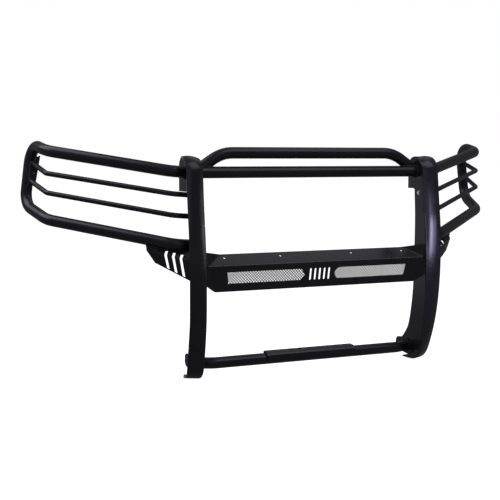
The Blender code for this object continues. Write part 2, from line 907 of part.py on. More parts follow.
def face_screw(name, sign, u, v):
    """A button-head screw through the face and the mesh panel, with its nut."""
    at = face_frame() @ Matrix.Translation((sign * u, v, 0))
    grip = HOUSING_SHEET + 2 * GAP + MESH_SHEET

    def head(shape):
        where = at @ Matrix.Translation((0, 0, GAP + SCREW_HEAD_HEIGHT / 2))
        bmesh.ops.create_cone(
            shape,
            cap_ends=True,
            segments=12,
            radius1=SCREW_HEAD_RADIUS,
            radius2=SCREW_HEAD_RADIUS * 0.62,
            depth=SCREW_HEAD_HEIGHT,
            matrix=where,
        )

    def shank(shape):
        length = grip + NUT_HEIGHT + 0.003
        middle = GAP + SCREW_HEAD_HEIGHT / 2 - length / 2
        where = at @ Matrix.Translation((0, 0, middle))
        cylinder_into(shape, SCREW_RADIUS, length, where, 12)

    screw = solid(f"face_screw_{name}", head, BLACK_ZINC)
    join(screw, cutter(shank, f"face_screw_shank_{name}"))
    where = at @ Matrix.Translation((0, 0, -grip - GAP - NUT_HEIGHT / 2))
    nut(f"face_screw_nut_{name}", where, SCREW_RADIUS, NUT_RADIUS)


# ---------------------------------------------------------------- wings


def stub(sign, start_x, knee):
    """The start of a wing member: square off the upright, then out to its knee."""
    y, z = knee
    root_z = z - (KNEE_X - start_x) * STUB_FALL
    return [
        side_point(sign, start_x, y, root_z),
        side_point(sign, start_x + STUB_SQUARE, y, root_z),
        side_point(sign, KNEE_X, y, z),
    ]


def wing_loop(side, sign):
    """The wing's outer tube, out from the upright, round its end and back."""
    top_start = STIFFENER_X + STIFFENER_SHEET / 2 + 2 * GAP
    foot_start = INNER_X + UPRIGHT_SHEET + 2 * GAP
    corners = stub(sign, top_start, TOP_KNEE)
    for corner in (TOP_BEND, LOOP_TOP, LOOP_FOOT, FOOT_BEND):
        corners.append(side_point(sign, *corner))
    corners += reversed(stub(sign, foot_start, FOOT_KNEE))
    half = (0, KNEE_RADIUS, BEND_RADIUS, LOOP_RADIUS)
    path = rounded_path(corners, half + half[::-1])
    tube(f"wing_loop_{side}", path, TUBE_RADIUS, TUBE_WALL)


def wing_rod(side, sign, level, knee, bend, end):
    corners = stub(sign, INNER_X + UPRIGHT_SHEET + 2 * GAP, knee)
    corners.append(side_point(sign, *bend))
    corners.append(side_point(sign, *end))
    path = rounded_path(corners, (0, ROD_KNEE_RADIUS, ROD_BEND_RADIUS))
    tube(f"wing_rod_{level}_{side}", path, ROD_RADIUS)


def gusset_point(sign, u, z, back=0.0):
    """A point of the gusset: U along the wing from the upright, and its height."""
    along = Vector((1, GUSSET_SLOPE)).normalized()
    x = GUSSET_START_X + u * along.x - back * along.y
    y = GUSSET_START_Y + u * along.y + back * along.x
    return side_point(sign, x, y, z)


def gusset(side, sign):
    """A folded plate under the wing's lower tube, with three ventilation slots."""
    corners = (*GUSSET_FOOT, *GUSSET_FOLD[::-1], *GUSSET_TOP[::-1])
    points = [gusset_point(sign, *corner) for corner in corners]
    faces = [[0, 1, 2, 3], [3, 2, 4, 5], [3, 5, 6], [3, 6, 7]]
    faces = [face if sign > 0 else face[::-1] for face in faces]
    obj = surface(f"gusset_{side}", points, faces, GUSSET_SHEET, POWDER_COAT)
    origin = gusset_point(sign, 0, 0)
    across = (gusset_point(sign, 1, 0) - origin).normalized()
    up = Vector((0, 0, 1))
    frame = Matrix((across, up, across.cross(up))).transposed().to_4x4()
    frame = Matrix.Translation(origin) @ frame

    def slots(shape):
        for u in GUSSET_SLOTS_U:
            prism_into(shape, gusset_slot(u), 0.080, frame)

    cut(obj, cutter(slots, f"gusset_slots_{side}"))


def gusset_slot(u):
    """A slot from just above the gusset's foot, over the fold and into the top strip."""
    fold_u = u + GUSSET_SLOT_LEAN
    foot = height_along(GUSSET_FOOT, u) + GUSSET_SLOT_FOOT
    foot_fall = height_along(GUSSET_FOOT, GUSSET_SLOT_WIDTH) - GUSSET_FOOT[0][1]
    fold = height_along(GUSSET_FOLD, fold_u)
    half = GUSSET_SLOT_WIDTH / 2
    return [
        (u - half, foot - foot_fall / 2),
        (u + half, foot + foot_fall / 2),
        (fold_u + half, fold),
        (fold_u + half, fold + GUSSET_SLOT_RISE),
        (fold_u - half, fold + GUSSET_SLOT_RISE),
        (fold_u - half, fold),
    ]


def height_along(edge, u):
    """The height of one of the gusset's straight edges at a distance U along it."""
    (start_u, start_z, _), (end_u, end_z, _) = edge
    return start_z + (end_z - start_z) * (u - start_u) / (end_u - start_u)


def loop_axis_x(z):
    """The X of the upright run at the loop's end, at a height."""
    share = (z - LOOP_FOOT[2]) / (LOOP_TOP[2] - LOOP_FOOT[2])
    return LOOP_FOOT[0] + (LOOP_TOP[0] - LOOP_FOOT[0]) * share


def rod_plate(side, sign):
    """Flat strip on the front of the loop's end, which both rods run back to."""

    def centre(reach, z):
        return Vector((sign * (loop_axis_x(z) + reach), z))

    outline = [centre(*corner) for corner in ROD_PLATE]
    hole = arc(centre(*ROD_PLATE_HOLE), ROD_PLATE_HOLE_RADIUS, 0, math.pi * 11 / 6, 11)
    data = flat_curve(f"rod_plate_{side}", [outline, hole], ROD_PLATE_SHEET)
    obj = add(f"rod_plate_{side}", data, POWDER_COAT)
    obj.location = place(0, ROD_PLATE_REAR_Y - ROD_PLATE_SHEET / 2, 0)
    obj.rotation_euler = (math.radians(90), 0, 0)


# ---------------------------------------------------------------- assembly


def build():
    cross_tube()
    hoop()
    lower_tube()
    step_saddle()
    lamp_housing()
    for side, sign in SIDES:
        upright(side, sign)
        stiffener(side, sign)
        side_bolt(side, sign)
        foot_plate(side, sign)
        mount_bracket(side, sign)
        mesh_panel(side, sign)
        for level, (u, v) in zip(("upper", "lower"), SCREW_UV):
            face_screw(f"{level}_{side}", sign, u, v)
        wing_loop(side, sign)
        rod_plate(side, sign)
        for level, knee, bend, end in RODS:
            wing_rod(side, sign, level, knee, bend, end)
        gusset(side, sign)


build()
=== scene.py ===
"""Looks of a front grille guard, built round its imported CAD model, in metres with +Z up.

The flat plates and the nuts keep their CAD solids, with rounded edges and a coat. The
tubes, pressed uprights, lamp housing, mesh, saddle, side bolts and face screws are made
again here in fine geometry, and the welds between them are added. Every place is measured
from the axis of the upper cross tube, which the frame gives, and at() turns it into a
point of the frame. Left and right pieces share one description, given for the right side:
SIDES gives each side's name and the sign of its X.
"""

import json
import math

import bmesh
import bpy
from mathutils import Matrix, Vector
from mathutils.geometry import intersect_point_line

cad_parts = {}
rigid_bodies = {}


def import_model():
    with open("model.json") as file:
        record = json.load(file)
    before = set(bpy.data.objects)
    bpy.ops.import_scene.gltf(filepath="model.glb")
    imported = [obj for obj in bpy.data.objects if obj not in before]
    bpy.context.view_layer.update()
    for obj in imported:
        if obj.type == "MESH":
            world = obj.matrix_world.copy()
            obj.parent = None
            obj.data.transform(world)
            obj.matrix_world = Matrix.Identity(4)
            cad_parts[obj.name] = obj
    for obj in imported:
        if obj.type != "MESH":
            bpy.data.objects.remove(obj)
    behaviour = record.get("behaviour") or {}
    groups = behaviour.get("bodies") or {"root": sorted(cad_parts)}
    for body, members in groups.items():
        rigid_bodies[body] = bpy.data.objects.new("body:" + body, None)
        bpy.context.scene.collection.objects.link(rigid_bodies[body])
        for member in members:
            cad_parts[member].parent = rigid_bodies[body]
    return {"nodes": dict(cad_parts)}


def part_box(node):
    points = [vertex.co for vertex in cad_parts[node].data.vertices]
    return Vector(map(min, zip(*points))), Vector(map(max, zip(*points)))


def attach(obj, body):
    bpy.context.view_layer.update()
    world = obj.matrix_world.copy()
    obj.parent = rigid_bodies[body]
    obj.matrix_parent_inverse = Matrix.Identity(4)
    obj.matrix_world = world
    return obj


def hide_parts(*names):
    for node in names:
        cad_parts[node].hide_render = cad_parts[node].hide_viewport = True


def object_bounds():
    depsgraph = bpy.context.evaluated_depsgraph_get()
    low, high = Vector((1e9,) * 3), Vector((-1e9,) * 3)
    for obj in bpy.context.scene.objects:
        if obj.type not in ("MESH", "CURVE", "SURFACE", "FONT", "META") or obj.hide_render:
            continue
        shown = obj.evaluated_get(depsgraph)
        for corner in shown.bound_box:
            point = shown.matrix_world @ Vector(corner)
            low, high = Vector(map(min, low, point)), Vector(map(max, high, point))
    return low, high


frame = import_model()
CAD_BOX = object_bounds()
CROSS_LOW, CROSS_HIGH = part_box("cross_tube")
CROSS_AXIS = (CROSS_LOW + CROSS_HIGH) / 2
PLATE_FACE_X = CROSS_HIGH.x
SIDES = (("left", -1), ("right", 1))

# Tubes and rods.
TUBE_RADIUS = 0.01905
ROD_RADIUS = 0.00855
BEND_STEP = math.radians(4)

# Uprights. BAND_OUTER holds (X, Y, Z); the fold's and the side plate's outlines hold (Y, Z).
# The band's crown is full above the higher of CROWN_FADE_Z and gone below the lower.
INNER_X = 0.4045
FOLD_RADIUS = 0.004
UPRIGHT_SHEET = 0.0036
BAND_CROWN = 0.0045
CROWN_FADE_Z = (-0.676, -0.610)
ARCH_CENTRE = (0.0, -0.003)
ARCH_RADII = (0.054, 0.050)
ARCH_END = math.radians(172)
ARCH_OUTER_X = 0.463
BAND_OUTER = (
    (0.4635, -0.066, -0.105),
    (0.4635, -0.077, -0.190),
    (0.4630, -0.082, -0.295),
    (0.4625, -0.079, -0.390),
    (0.4605, -0.070, -0.475),
    (0.4590, -0.052, -0.552),
    (0.4550, -0.0235, -0.633),
    (0.4500, 0.001, -0.6645),
    (0.4455, 0.028, -0.6735),
    (0.4400, 0.060, -0.6785),
    (0.4270, 0.093, -0.6795),
)
BAND_FOLD = (
    (-0.0585, -0.105),
    (-0.0695, -0.190),
    (-0.0795, -0.295),
    (-0.0810, -0.390),
    (-0.0780, -0.475),
    (-0.0660, -0.556),
    (-0.0490, -0.632),
    (-0.0315, -0.6585),
    (-0.0070, -0.6705),
    (0.0280, -0.6750),
    (0.0660, -0.6765),
)
PLATE_EAR_Y = 0.022
PLATE_EAR_Z = (0.034, -0.056)
PLATE_REAR = (
    (0.0030, -0.063),
    (-0.0030, -0.150),
    (-0.0032, -0.250),
    (0.0010, -0.400),
    (0.0140, -0.492),
    (0.0305, -0.552),
    (0.0545, -0.586),
    (0.0750, -0.606),
)
PLATE_TAB = (
    (0.096, -0.611),
    (0.098, -0.640),
    (0.074, -0.657),
    (0.030, -0.661),
    (0.052, -0.671),
)
PLATE_HOLE = (-0.064, -0.166)
PLATE_HOLE_RADIUS = 0.0035
PLATE_HOLE_DEPTH = 0.0030
BOLT_YZ = (-0.027, -0.075)
BOLT_HOLE_RADIUS = 0.0043
# The side bolt's head, from the plate out: (radius, top radius, height, start, corners).
BOLT_HEAD = (
    (0.0085, 0.0078, 0.0012, 0.0000, 32),
    (0.0062, 0.0062, 0.0036, 0.0011, 6),
    (0.0052, 0.0044, 0.0006, 0.0045, 24),
)
STIFFENER_X = 0.437
STIFFENER_SHEET = 0.005

# Hoop, lower tube and step saddle. The saddle's section holds (Y, Z), from its rear lip
# over the top to its front edge. SADDLE_HOLE is a hole's length and width, and SADDLE_CUT
# the depth that its cutter reaches through.
HOOP_Y = 0.012
HOOP_RISE = 0.063
HOOP_SHOULDER_X = 0.3195
HOOP_FOOT = (0.420, -0.0034)
HOOP_BEND = 0.125
LOWER_YZ = (0.012, -0.6275)
LOWER_END_Y = 0.034
LOWER_BEND_X = 0.352
LOWER_BEND = 0.070
FOOT_PLATE_SHEET = 0.004
SADDLE_HALF = 0.166
SADDLE_SHEET = 0.003
SADDLE_SECTION = (
    (0.0255, -0.6108),
    (0.0255, -0.6022),
    (0.0030, -0.6037),
    (-0.0064, -0.6072),
    (-0.0110, -0.6140),
    (-0.0110, -0.6320),
)
SADDLE_ROUNDING = (0.002, 0.006, 0.004, 0.006)
SADDLE_HOLES = 9
SADDLE_HOLE_PITCH = 0.0345
SADDLE_HOLE = (0.014, 0.010)
SADDLE_HOLE_Y = 0.0145
SADDLE_CUT = 0.010

# Lamp housing, its windows and the mesh behind them. U runs across the housing's face and
# V up it, from the middle of the crease. FLANGE_HOLES holds (X, radius).
HOUSING_SHEET = 0.003
HOUSING_FOLD = 0.004
CREASE = (0.398, -0.073, -0.296)
FACE_FOOT = (0.369, -0.055, -0.383)
FLANGE_KINK = (0.340, -0.019, -0.2642)
CHEEK_TOP = (0.4040, -0.0640, -0.2515)
CHEEK_FOOT = (0.4040, -0.0735, -0.3590)
FLANGE_HOLES = ((0.330, 0.0042), (0.132, 0.0042), (0.033, 0.0020))
FLANGE_HOLE_SHARE = 0.68
WINDOW_TOP = -0.0235
WINDOW_FOOT = -0.0625
WINDOW_TIP_U = 0.054
WINDOW_INNER_U = 0.068
WINDOW_OUTER_U = (0.331, 0.325)
WINDOW_CORNER = 0.0025
SLOT_COUNT = 5
SLOT_PITCH = 0.017
SLOT_WIDTH = 0.007
SLOT_SPAN = (-0.026, -0.060)
MESH_PITCH = 0.0097
MESH_STRAND = 0.0029
MESH_OUTER_U = 0.364
MESH_MARGIN = 0.008
MESH_GAP = 0.0016
SCREW_UV = ((0.356, -0.0115), (0.3555, -0.0705))
SCREW_HEAD = (0.0048, 0.0026)
SOCKET_SHARE = 0.48

# Wings. A knee is (Y, Z) at KNEE_X, and each rod has its level, knee, bend and end.
KNEE_X = 0.492
TOP_KNEE = (0.025, 0.005)
TOP_BEND = (0.843, 0.255, 0.0705)
LOOP_TOP = (0.865, 0.397, 0.096)
LOOP_FOOT = (0.892, 0.397, -0.111)
FOOT_KNEE = (-0.017, -0.2275)
FOOT_BEND = (0.846, 0.247, -0.155)
KNEE_RADIUS = 0.090
BEND_RADIUS = 0.080
LOOP_RADIUS = 0.062
RODS = (
    ("upper", (-0.004, -0.067), (0.844, 0.2526, -0.0035), (0.8640, 0.3700, 0.0274)),
    ("lower", (-0.009, -0.135), (0.843, 0.2495, -0.0675), (0.8752, 0.3700, -0.0310)),
)
ROD_KNEE_RADIUS = 0.060
ROD_BEND_RADIUS = 0.022
STUB_FALL = 0.08

# Gussets under the wings, and the rod plates at the wings' ends. GUSSET_TOP holds (U along
# the plate, Z, how far behind the plate's line), and ROD_PLATE_EDGES holds (X from the
# loop's axis, Z, the bead's radius there).
GUSSET_START = (0.4415, -0.0735)
GUSSET_SLOPE = 0.74
GUSSET_TOP = (
    (0.022, -0.2475, 0.030),
    (0.060, -0.2500, 0.022),
    (0.097, -0.2465, 0.014),
    (0.1665, -0.2305, 0.006),
)
ROD_PLATE_Y = 0.3744
ROD_PLATE_EDGES = (
    (-0.0218, 0.051, 0.0036),
    (-0.0190, 0.036, 0.0036),
    (-0.0010, 0.035, 0.0028),
    (-0.0010, -0.046, 0.0028),
)

# Welds: the beads' radii, the length of one ripple, and how far a bead's centre stands off
# the tube's surface (OUT) and off the plate it is on (ALONG). BEAD_REAR_Y is how far back a
# bead may lie on the upright's side plate, whose rear edge is just behind that.
BEAD_RADIUS = 0.0026
HOOP_BEAD = 0.0030
ROD_BEAD = 0.0019
GUSSET_BEAD = 0.0036
BEAD_RIPPLE = 0.0026
BEAD_RIPPLE_SWELL = 0.14
BEAD_REAR_Y = -0.006
CROSS_OUT, CROSS_ALONG = 0.0008, 0.0008
LOWER_OUT, LOWER_ALONG = 0.0012, 0.0010
LOOP_OUT, LOOP_ALONG = 0.0010, 0.0010
ROD_OUT, ROD_ALONG = 0.0006, 0.0012
GUSSET_OUT = 0.0016
ROD_PLATE_ALONG = 0.001

# Edge roundings.
UPRIGHT_EDGE = 0.0007
PLATE_EDGE = 0.0006
SADDLE_EDGE = 0.0005
HOUSING_EDGE = 0.0004
FASTENER_EDGE = 0.0003

# Lamp and room colours: the studio's own, and the cooler strips that the upright mirrors.
LAMP_COLOUR = (0.91, 0.89, 1.0)
STRIP_COLOUR = (0.77, 0.71, 1.0)
ROOM_COLOUR = (0.92, 0.92, 1.0, 1)
ROOM_STRENGTH = 0.145
FLOOR_GLOW = 0.97

# Camera and stage, from the cross tube's axis.
CAMERA_AT = (-1.3991, -2.8614, 0.046)
CAMERA_TILT = math.radians(84.42)
CAMERA_TURN = math.radians(-22.3)
CAMERA_SENSOR = 36
CAMERA_LENS = 67.75


# ---------------------------------------------------------------- materials


class Graph:
    """A material's node tree, with one short call for each node."""

    def __init__(self, name):
        self.material = bpy.data.materials.new(name)
        self.material.use_nodes = True
        self.tree = self.material.node_tree
        self.shader = self.tree.nodes["Principled BSDF"]
        self.place = self.add("ShaderNodeNewGeometry").outputs["Position"]

    def add(self, kind, **inputs):
        node = self.tree.nodes.new(kind)
        for name, value in inputs.items():
            self.put(node, name.replace("_", " "), value)
        return node

    def put(self, node, name, value):
        socket = node.inputs[name]
        if isinstance(value, bpy.types.NodeSocket):
            self.tree.links.new(value, socket)
        else:
            socket.default_value = value

    def noise(self, scale, detail=3.0):
        node = self.add("ShaderNodeTexNoise", Vector=self.place, Scale=scale, Detail=detail)
        return node.outputs["Fac"]

    def ranged(self, value, low, high, to_low, to_high):
        node = self.add(
            "ShaderNodeMapRange",
            Value=value,
            From_Min=low,
            From_Max=high,
            To_Min=to_low,
            To_Max=to_high,
        )
        return node.outputs["Result"]

    def maths(self, operation, first, second):
        node = self.add("ShaderNodeMath")
        node.operation = operation
        self.put(node, 0, first)
        self.put(node, 1, second)
        return node.outputs[0]

    def mixed(self, share, first, second):
        node = self.add("ShaderNodeMix")
        node.data_type = "RGBA"
        self.put(node, 0, share)
        self.put(node, 6, first)
        self.put(node, 7, second)
        return node.outputs[2]

    def edges(self, radius):
        """1 on edges sharper than the radius, 0 on flat and gently curved ground."""
        rounded = self.add("ShaderNodeBevel", Radius=radius)
        rounded.samples = 4
        plain = self.add("ShaderNodeNewGeometry").outputs["Normal"]
        dot = self.add("ShaderNodeVectorMath")
        dot.operation = "DOT_PRODUCT"
        self.put(dot, 0, rounded.outputs["Normal"])
        self.put(dot, 1, plain)
        return self.ranged(dot.outputs["Value"], 0.985, 0.80, 0.0, 1.0)

    def upward(self):
        """1 where the surface faces up, 0 where it is upright or faces down."""
        normal = self.add("ShaderNodeNewGeometry").outputs["Normal"]
        parts = self.add("ShaderNodeSeparateXYZ", Vector=normal)
        return self.ranged(parts.outputs["Z"], 0.25, 1.0, 0.0, 1.0)

    def bump(self, height, distance, strength, below=None):
        node = self.add("ShaderNodeBump", Height=height, Distance=distance, Strength=strength)
        if below is not None:
            self.put(node, "Normal", below)
        return node.outputs["Normal"]

    def finish(self, **inputs):
        for name, value in inputs.items():
            self.put(self.shader, name.replace("_", " "), value)
        return self.material


def powder_coat(name, colour, grain, roughness):
    """Baked powder: fine grain over a slow orange peel, tops lightened partly as dust and partly
    as painted top light, and edges lightened in patches.
    """
    graph = Graph(name)
    fine = graph.noise(grain, 4.0)
    peel = graph.noise(grain / 5, 2.0)
    cloud = graph.noise(11.0, 4.0)
    dark = (*[channel * 0.75 for channel in colour], 1)
    light = (*[channel * 1.45 for channel in colour], 1)
    body = graph.mixed(graph.ranged(cloud, 0.3, 0.7, 0.0, 1.0), dark, light)
    # Upward faces are lightened in cloudy patches: partly dust, partly painted top light.
    dust_and_top_light = graph.maths("MULTIPLY", graph.upward(), graph.ranged(cloud, 0.35, 0.75, 0.10, 0.45))
    body = graph.mixed(dust_and_top_light, body, (0.045, 0.045, 0.047, 1))
    # Sharp edges are lightened in noisy patches.
    patches = graph.ranged(graph.noise(60.0, 5.0), 0.48, 0.66, 0.0, 0.55)
    lighter_edges = graph.maths("MULTIPLY", graph.edges(0.0012), patches)
    body = graph.mixed(lighter_edges, body, (0.16, 0.155, 0.165, 1))
    rough = graph.ranged(cloud, 0.3, 0.7, roughness - 0.05, roughness + 0.05)
    rough = graph.maths("ADD", rough, graph.ranged(fine, 0.3, 0.7, -0.03, 0.03))
    bumped = graph.bump(peel, 0.00030, 0.10)
    bumped = graph.bump(fine, 0.00015, 0.22, bumped)
    return graph.finish(
        Base_Color=body,
        Roughness=rough,
        Normal=bumped,
        Specular_IOR_Level=0.5,
        Specular_Tint=(0.93, 0.90, 1.0, 1),
    )


def plated(name, colour, roughness):
    """Zinc plating: metallic, clouded, with fine turning marks."""
    graph = Graph(name)
    cloud = graph.noise(220.0, 4.0)
    dull = (*[channel * 0.6 for channel in colour], 1)
    body = graph.mixed(graph.ranged(cloud, 0.3, 0.7, 0.0, 1.0), dull, (*colour, 1))
    rough = graph.ranged(graph.noise(900.0), 0.3, 0.7, roughness - 0.08, roughness + 0.08)
    return graph.finish(
        Base_Color=body,
        Roughness=rough,
        Metallic=1.0,
        Normal=graph.bump(graph.noise(1600.0), 0.0001, 0.3),
    )


def floor_paint():
    """Pale studio floor, a little lit of its own so that shadows stay light."""
    graph = Graph("pale_floor")
    tone = graph.ranged(graph.noise(0.8), 0.3, 0.7, 0.90, 0.93)
    body = graph.add("ShaderNodeCombineColor", Red=tone, Green=tone, Blue=tone)
    return graph.finish(
        Base_Color=body.outputs[0],
        Roughness=0.9,
        Emission_Color=(1.0, 1.0, 1.0, 1),
        Emission_Strength=FLOOR_GLOW,
    )


TUBE_COAT = powder_coat("tube_coat", (0.0105, 0.0100, 0.0125), 1500.0, 0.30)
PLATE_COAT = powder_coat("plate_coat", (0.0110, 0.0106, 0.0130), 1500.0, 0.24)
SHEET_COAT = powder_coat("sheet_coat", (0.0105, 0.0102, 0.0120), 2200.0, 0.28)
MESH_COAT = powder_coat("mesh_coat", (0.0095, 0.0095, 0.0100), 2600.0, 0.44)
WELD_COAT = powder_coat("weld_coat", (0.0105, 0.0102, 0.0120), 1100.0, 0.40)
BLACK_ZINC = plated("black_zinc", (0.085, 0.078, 0.062), 0.42)
BRIGHT_ZINC = plated("bright_zinc", (0.66, 0.66, 0.68), 0.30)


# ---------------------------------------------------------------- pieces


def at(x, y, z):
    """A point given from the cross tube's axis, in the frame."""
    return CROSS_AXIS + Vector((x, y, z))


def side_at(sign, x, y, z):
    return at(sign * x, y, z)


def piece(name, data, material, node=None):
    """A new piece that rides on the guard's one body, and stands for a node if given."""
    obj = bpy.data.objects.new(name, data)
    bpy.context.scene.collection.objects.link(obj)
    data.materials.append(material)
    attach(obj, "root")
    if node is not None:
        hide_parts(node)
    return obj


def smooth(mesh, degrees=30):
    mesh.shade_smooth()
    mesh.set_sharp_from_angle(angle=math.radians(degrees))


def round_edges(obj, width, segments=2):
    bevel = obj.modifiers.new("Rounded edges", "BEVEL")
    bevel.width = width
    bevel.segments = segments
    bevel.limit_method = "ANGLE"
    bevel.angle_limit = math.radians(35)
    flat = obj.modifiers.new("Flat faces", "WEIGHTED_NORMAL")
    flat.weight = 100
    flat.keep_sharp = True


def mesh_of(name, make):
    """A mesh from a function that fills a bmesh."""
    mesh = bpy.data.meshes.new(name)
    shape = bmesh.new()
    make(shape)
    bmesh.ops.recalc_face_normals(shape, faces=shape.faces)
    shape.to_mesh(mesh)
    shape.free()
    return mesh


def helper(name, make):
    """A hidden cutter, staged because it is no part of the guard."""
    obj = bpy.data.objects.new(name, mesh_of(name, make))
    bpy.context.scene.collection.objects.link(obj)
    obj.hide_render = True
    obj.hide_viewport = True
    return obj


def cut(obj, tool):
    modifier = obj.modifiers.new("Cut", "BOOLEAN")
    modifier.operation = "DIFFERENCE"
    modifier.solver = "EXACT"
    modifier.object = tool


def thicken(obj, sheet):
    solidify = obj.modifiers.new("Sheet", "SOLIDIFY")
    solidify.thickness = sheet
    solidify.offset = -1
    solidify.use_even_offset = True
    solidify.use_quality_normals = True


def line_curve(name, points, radius, resolution, closed=False):
    data = bpy.data.curves.new(name, "CURVE")
    data.dimensions = "3D"
    data.bevel_depth = radius
    data.bevel_resolution = resolution
    data.use_fill_caps = True
    spline = data.splines.new("POLY")
    spline.points.add(len(points) - 1)
    for control, point in zip(spline.points, points):
        control.co = (*point, 1)
    spline.use_cyclic_u = closed
    spline.use_smooth = True
    return data


def prism_into(shape, outline, depth, matrix):
    """A closed prism over a (U, V) outline, centred on the outline's plane."""
    near = [shape.verts.new(matrix @ Vector((u, v, -depth / 2))) for u, v in outline]
    far = [shape.verts.new(matrix @ Vector((u, v, depth / 2))) for u, v in outline]
    shape.faces.new(near)
    shape.faces.new(reversed(far))
    for i in range(len(outline)):
        j = (i + 1) % len(outline)
        shape.faces.new((near[j], near[i], far[i], far[j]))


def cylinder_into(shape, radius, length, matrix, segments=32, top_radius=None):
    bmesh.ops.create_cone(
        shape,
        cap_ends=True,
        segments=segments,
        radius1=radius,
        radius2=radius if top_radius is None else top_radius,
        depth=length,
        matrix=matrix,
    )


# ---------------------------------------------------------------- lines


def rounded_path(corners, radii):
    """The line through the corners, with each inner corner rounded to its radius."""
    path = [corners[0]]
    for before, corner, after, radius in zip(corners, corners[1:], corners[2:], radii):
        back = (before - corner).normalized()
        ahead = (after - corner).normalized()
        half = back.angle(ahead) / 2
        centre = corner + (back + ahead).normalized() * (radius / math.sin(half))
        start = corner + back * (radius / math.tan(half)) - centre
        bend = math.pi - 2 * half
        steps = math.ceil(bend / BEND_STEP)
        turn = Matrix.Rotation(bend / steps, 4, back.cross(start).normalized())
        for _ in range(steps + 1):
            path.append(centre + start)
            start = turn @ start
    path.append(corners[-1])
    return path


def spline_through(points, steps):
    """A smooth (Catmull-Rom) line through the points, with steps pieces a span."""
    ends = [2 * Vector(points[0]) - Vector(points[1])]
    ends += [Vector(point) for point in points]
    ends.append(2 * Vector(points[-1]) - Vector(points[-2]))
    line = []
    for a, b, c, d in zip(ends, ends[1:], ends[2:], ends[3:]):
        for step in range(steps):
            t = step / steps
            square = (2 * a - 5 * b + 4 * c - d) * t**2
            cube = (3 * b - a - 3 * c + d) * t**3
            line.append(0.5 * (2 * b + (c - a) * t + square + cube))
    line.append(ends[-2])
    return line


def arc(centre, radius, start, end, steps):
    turn = (end - start) / steps
    angles = [start + turn * i for i in range(steps + 1)]
    return [
        Vector((centre[0] + radius * math.cos(a), centre[1] + radius * math.sin(a)))
        for a in angles
    ]


def slot_outline(start, end, width, steps=8):
    """A round-ended slot between two (U, V) centres."""
    along = Vector(end) - Vector(start)
    heading = math.atan2(along.y, along.x)
    quarter = math.pi / 2
    outline = arc(end, width / 2, heading - quarter, heading + quarter, steps)
    outline += arc(start, width / 2, heading + quarter, heading + 3 * quarter, steps)
    return outline


def rounded_outline(corners, radius):
    """A closed flat outline with its corners rounded."""
    loop = [Vector((*corner, 0)) for corner in corners]
    start = (loop[-1] + loop[0]) / 2
    path = rounded_path([start, *loop, start], [radius] * len(loop))
    return [(point.x, point.y) for point in path[:-1]]


def circle_round(centre, axis, radius, count):
    """Points round an axis, the first one at the back where the axis allows it."""
    toward = Vector((0, 0, 1)) if abs(axis.y) > 0.7 else Vector((0, 1, 0))
    across = (toward - axis * axis.dot(toward)).normalized()
    beside = axis.cross(across).normalized()
    found = []
    for i in range(count):
        angle = 2 * math.pi * i / count
        found.append(centre + radius * (across * math.cos(angle) + beside * math.sin(angle)))
    return found


# ---------------------------------------------------------------- welds


def weld(name, points, closed, size=BEAD_RADIUS):
    """A bead along a line, its ripples as the line's own swelling and thinning."""
    fine = []
    stops = points + points[:1] if closed else points
    for a, b in zip(stops, stops[1:]):
        steps = max(1, round((b - a).length / (BEAD_RIPPLE / 4)))
        fine += [a.lerp(b, i / steps) for i in range(steps)]
    if not closed:
        fine.append(stops[-1])
    data = line_curve(name, fine, size, 2, closed)
    for i, control in enumerate(data.splines[0].points):
        control.radius = 1 + BEAD_RIPPLE_SWELL * math.cos(math.pi * i / 2)
    return piece(name, data, WELD_COAT)


def weld_ring(name, centre, axis, radius, size=BEAD_RADIUS):
    count = round(2 * math.pi * radius / BEAD_RIPPLE)
    return weld(name, circle_round(centre, axis, radius, count), True, size)


def weld_on_side_plate(name, centre, axis, radius, size=BEAD_RADIUS):
    """The part of a ring that lies on the side plate, in front of its rear edge."""
    limit = at(0, BEAD_REAR_Y, 0).y
    count = round(2 * math.pi * radius / BEAD_RIPPLE)
    ring = circle_round(centre, axis, radius, count)
    return weld(name, [point for point in ring if point.y < limit], False, size)


# ---------------------------------------------------------------- uprights


def band_lines():
    """The band's outer edge and its fold as (X, Y, Z) rows from the arch to the foot."""
    fold_x = INNER_X + FOLD_RADIUS
    quarter = math.pi / 2
    top = [(ARCH_OUTER_X, y, z) for y, z in arc(ARCH_CENTRE, ARCH_RADII[0], quarter, ARCH_END, 20)]
    outer = top[:-1] + spline_through([top[-1], *BAND_OUTER], 6)
    top = [(fold_x, y, z) for y, z in arc(ARCH_CENTRE, ARCH_RADII[1], quarter, ARCH_END, 20)]
    fold = top[:-1] + spline_through([top[-1], *[(fold_x, *point) for point in BAND_FOLD]], 6)
    return [Vector(point) for point in outer], [Vector(point) for point in fold]


def normals_of(line):
    found = []
    for i in range(len(line)):
        along = line[min(i + 1, len(line) - 1)] - line[max(i - 1, 0)]
        found.append(Vector((0, along.z, -along.y)).normalized())
    return found


def band_row(outer, fold, normal, columns=14, fold_steps=5, margin=0.002):
    """The band, the fold round to the side plate, and a narrow flat beside the fold.

    The band is crowned across its width, and the crown dies away toward the foot.
    """
    row = []
    flat_z, full_z = CROWN_FADE_Z
    middle = BAND_CROWN * min(1, max(0, (fold.z - flat_z) / (full_z - flat_z)))
    for column in range(columns + 1):
        share = column / columns
        crown = middle * 4 * share * (1 - share)
        row.append(outer.lerp(fold, share) + normal * crown)
    for step in range(1, fold_steps + 1):
        angle = math.pi / 2 * step / fold_steps
        across = Vector((-FOLD_RADIUS * math.sin(angle), 0, 0))
        row.append(fold + across - normal * FOLD_RADIUS * (1 - math.cos(angle)))
    row.append(row[-1] - normal * margin)
    return row


def plate_rear_edge():
    edge = [Vector(point) for point in reversed(PLATE_TAB)]
    edge += list(reversed(spline_through(PLATE_REAR, 6)))
    edge += [Vector((PLATE_EAR_Y, z)) for z in reversed(PLATE_EAR_Z)]
    return edge


